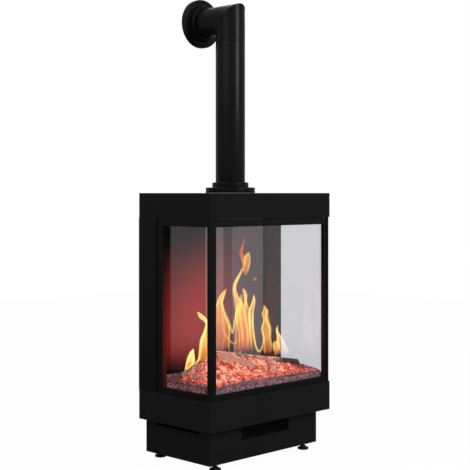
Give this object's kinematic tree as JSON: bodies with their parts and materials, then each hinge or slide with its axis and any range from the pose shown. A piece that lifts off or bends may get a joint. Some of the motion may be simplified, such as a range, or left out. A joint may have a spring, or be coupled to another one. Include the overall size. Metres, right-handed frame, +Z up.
{
  "type": "electric fireplace",
  "caption": "Free-standing electric fireplace glazed on three sides, with log bed, hinged glass door, plinth heater, levelling feet and a mitred flue pipe to the wall.",
  "frame": {"origin": "on the floor, midway across the body and midway between the body's front face and the wall behind it", "axes": "+Z up, front facing -Y, +X to the right of a viewer who looks at the front"},
  "size_m": [0.732, 0.454, 1.9905],
  "materials": {
    "black_steel": "satin matt black heat-resistant paint",
    "chamber_steel": "satin black enamel",
    "galvanised_steel": "zinc-coated sheet",
    "bright_steel": "zinc-plated",
    "aluminium": "plain",
    "clear_glass": "clear, faintly grey",
    "gasket": "matt black gasket",
    "ash_enamel": "matt grey",
    "ember": "translucent moulded embers, lit from below",
    "log": "painted ceramic fibre with bark and char",
    "grey_plastic": "moulded",
    "black_plastic": "moulded",
    "foot_plastic": "moulded",
    "tank_plastic": "frosted",
    "lamp": "amber lamps on a white board"
  },
  "bodies": {
    "casing": {"plinth": "black_steel", "outlet_grille": "black_steel", "heater_duct": "galvanised_steel", "heater_motor": "galvanised_steel", "heater_element": "aluminium", "control_box": "grey_plastic", "mains_inlet": "black_plastic", "base_plate": "black_steel", "lower_casing": "black_steel", "upper_casing": "black_steel", "ceiling_panel": "black_steel", "rear_column_left": "black_steel", "rear_column_right": "black_steel", "back_cover": "black_steel", "back_cover_screw_1": "bright_steel", "back_cover_screw_2": "bright_steel", "back_cover_screw_3": "bright_steel", "back_cover_screw_4": "bright_steel", "chamber_back_panel": "chamber_steel", "chamber_liner_left": "chamber_steel", "chamber_liner_right": "chamber_steel", "side_frame_left": "black_steel", "side_frame_right": "black_steel", "side_glass_left": "clear_glass", "side_glass_right": "clear_glass", "side_seal_left": "gasket", "side_seal_right": "gasket", "door_pin_lower": "bright_steel", "door_pin_upper": "bright_steel", "catch_body": "black_plastic", "bed_tray": "ash_enamel", "ember_bed": "ember", "log_rear": "log", "log_front": "log", "log_right": "log", "log_left": "log", "log_near_glass": "log", "mist_cassette": "grey_plastic", "mist_nozzle": "grey_plastic", "water_tank": "tank_plastic", "mist_transducer": "bright_steel", "flame_lamp_bar": "lamp", "flue_base_rosette": "black_steel", "flue_base_collar": "black_steel", "flue_pipe": "black_steel", "flue_elbow": "black_steel", "flue_wall_pipe": "black_steel", "flue_wall_rosette": "black_steel", "flue_wall_collar": "black_steel"},
    "door": {"door_frame": "black_steel", "door_glass": "clear_glass", "door_seal": "gasket", "door_strike": "bright_steel"},
    "catch_plunger": {"catch_plunger": "black_plastic"},
    "heater_drum": {"heater_drum": "aluminium"},
    "mains_rocker": {"mains_rocker": "black_plastic"},
    "foot_front_left": {"foot_front_left": "foot_plastic"},
    "foot_front_right": {"foot_front_right": "foot_plastic"},
    "foot_rear_left": {"foot_rear_left": "foot_plastic"},
    "foot_rear_right": {"foot_rear_right": "foot_plastic"}
  },
  "joints": [
    {"name": "door_hinge", "type": "hinge", "parent": "casing", "child": "door", "pos_m": [0.339, -0.2135, 0.66], "axis": [0, 0, 1], "range_deg": [0, 95]},
    {"name": "catch_press", "type": "slide", "parent": "casing", "child": "catch_plunger", "axis": [0, 1, 0], "range_m": [0, 0.003], "stiffness_N_per_m": 300},
    {"name": "heater_drum_spin", "type": "hinge", "parent": "casing", "child": "heater_drum", "pos_m": [0, -0.1167, 0.134], "axis": [1, 0, 0], "continuous": true},
    {"name": "mains_rocker_tilt", "type": "hinge", "parent": "casing", "child": "mains_rocker", "pos_m": [-0.264, 0.2113, 0.0855], "axis": [1, 0, 0], "range_deg": [-16, 0]},
    {"name": "foot_front_left_turn", "type": "hinge", "parent": "casing", "child": "foot_front_left", "pos_m": [-0.269, -0.1545, 0], "axis": [0, 0, 1], "continuous": true},
    {"name": "foot_front_right_turn", "type": "hinge", "parent": "casing", "child": "foot_front_right", "pos_m": [0.269, -0.1545, 0], "axis": [0, 0, 1], "continuous": true},
    {"name": "foot_rear_left_turn", "type": "hinge", "parent": "casing", "child": "foot_rear_left", "pos_m": [-0.269, 0.1825, 0], "axis": [0, 0, 1], "continuous": true},
    {"name": "foot_rear_right_turn", "type": "hinge", "parent": "casing", "child": "foot_rear_right", "pos_m": [0.269, 0.1825, 0], "axis": [0, 0, 1], "continuous": true}
  ]
}
